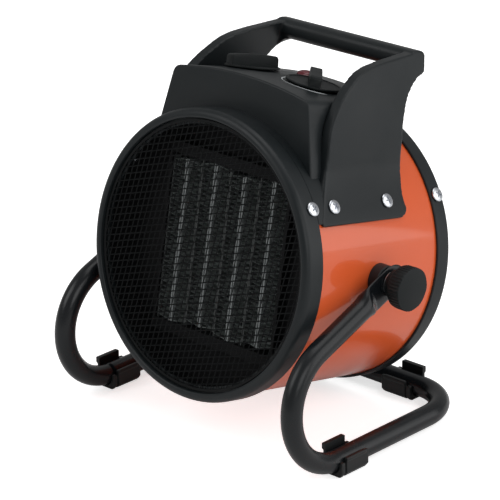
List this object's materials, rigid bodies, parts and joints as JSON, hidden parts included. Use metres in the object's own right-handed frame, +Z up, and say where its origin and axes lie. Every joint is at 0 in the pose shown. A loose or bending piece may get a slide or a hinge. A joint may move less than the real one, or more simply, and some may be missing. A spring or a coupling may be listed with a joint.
{
  "type": "forced air heater",
  "caption": "Portable drum heater with a ceramic element behind a round mesh grille, a fan, a top control housing with a carry handle, and a bent tube stand that the drum tilts on.",
  "frame": {"origin": "centre of the object's footprint, on the surface that the feet stand on", "axes": "+Z up, the warm air leaves the drum towards -Y, +X to the side with the thermostat knob; the drum's axis and the pivot axis both cross X = 0, and the pivot axis runs along X"},
  "size_m": [0.2422, 0.1871, 0.2402],
  "materials": {
    "orange_enamel": "glossy orange stove enamel on sheet steel",
    "black_plastic": "near-black moulded plastic with a fine satin texture",
    "knob_black": "near-black moulded plastic, a little smoother on its crests",
    "dark_plastic": "plain dark moulding, unseen parts",
    "foot_plastic": "tough matt black plastic",
    "white_plastic": "heat-proof off-white moulding",
    "red_lens": "clear dark red lens",
    "grille_black": "matt black coated steel",
    "black_powder_coat": "satin black powder coat on bent steel tube",
    "zinc_screw": "bright zinc-plated pan head screw with a cross recess",
    "plated_steel": "zinc-plated steel",
    "galvanised_sheet": "galvanised steel sheet",
    "cast_bracket": "plain die-cast aluminium",
    "element_aluminium": "dull rolled aluminium fins and tubes",
    "coil_tape": "amber insulating tape over a wound bobbin"
  },
  "bodies": {
    "stand": {"stand_tube": "black_powder_coat", "foot_front_right": "foot_plastic", "foot_front_left": "foot_plastic", "foot_rear_right": "foot_plastic", "foot_rear_left": "foot_plastic"},
    "drum": {"front_ring": "black_plastic", "front_grille": "grille_black", "drum_shell": "orange_enamel", "rear_ring": "black_plastic", "rear_grille": "grille_black", "front_ring_screw_right": "zinc_screw", "front_ring_screw_left": "zinc_screw", "rear_ring_screw_right": "zinc_screw", "rear_ring_screw_left": "zinc_screw", "handle": "black_plastic", "handle_screw_front_right": "zinc_screw", "handle_screw_front_left": "zinc_screw", "handle_screw_rear_right": "zinc_screw", "handle_screw_rear_left": "zinc_screw", "control_housing": "black_plastic", "mode_switch": "white_plastic", "thermostat_body": "dark_plastic", "indicator_lens": "red_lens", "cable_gland": "dark_plastic", "terminal_block": "white_plastic", "element_frame": "dark_plastic", "element_module_1": "element_aluminium", "element_module_2": "element_aluminium", "element_module_3": "element_aluminium", "element_module_4": "element_aluminium", "air_baffle": "galvanised_sheet", "thermal_cutout": "plated_steel", "motor_stack": "plated_steel", "motor_coil": "coil_tape", "motor_bridge": "cast_bracket", "motor_bracket": "galvanised_sheet", "pivot_plate_right": "galvanised_sheet", "pivot_stud_right": "plated_steel", "pivot_spacer_right": "black_plastic", "pivot_washer_right": "plated_steel", "pivot_plate_left": "galvanised_sheet", "pivot_stud_left": "plated_steel", "pivot_spacer_left": "black_plastic", "pivot_washer_left": "plated_steel"},
    "mode_control": {"mode_knob": "knob_black", "mode_shaft": "white_plastic"},
    "thermostat_control": {"thermostat_knob": "knob_black", "thermostat_shaft": "plated_steel"},
    "fan": {"fan_rotor": "dark_plastic", "motor_shaft": "plated_steel"},
    "clamp_right": {"lock_knob_right": "knob_black"},
    "clamp_left": {"lock_knob_left": "knob_black"}
  },
  "joints": [
    {"name": "drum_tilt", "type": "hinge", "parent": "stand", "child": "drum", "pos_m": [0, 0.00721, 0.11304], "axis": [1, 0, 0], "range_deg": [-3, 28]},
    {"name": "mode_turn", "type": "hinge", "parent": "drum", "child": "mode_control", "pos_m": [-0.0272, 0.01979, 0.22555], "axis": [-0.0916, 0.2662, 0.9596], "range_deg": [-45, 135]},
    {"name": "thermostat_turn", "type": "hinge", "parent": "drum", "child": "thermostat_control", "pos_m": [0.0272, 0.01979, 0.22555], "axis": [0.0916, 0.2662, 0.9596], "range_deg": [-150, 120]},
    {"name": "fan_spin", "type": "hinge", "parent": "drum", "child": "fan", "pos_m": [0, -0.06251, 0.126], "axis": [0, 0.9799, -0.1994], "continuous": true},
    {"name": "clamp_turn_right", "type": "hinge", "parent": "drum", "child": "clamp_right", "pos_m": [0.115, 0.00721, 0.11304], "axis": [1, 0, 0], "range_deg": [0, 720]},
    {"name": "clamp_turn_left", "type": "hinge", "parent": "drum", "child": "clamp_left", "pos_m": [-0.115, 0.00721, 0.11304], "axis": [-1, 0, 0], "range_deg": [0, 720]}
  ]
}
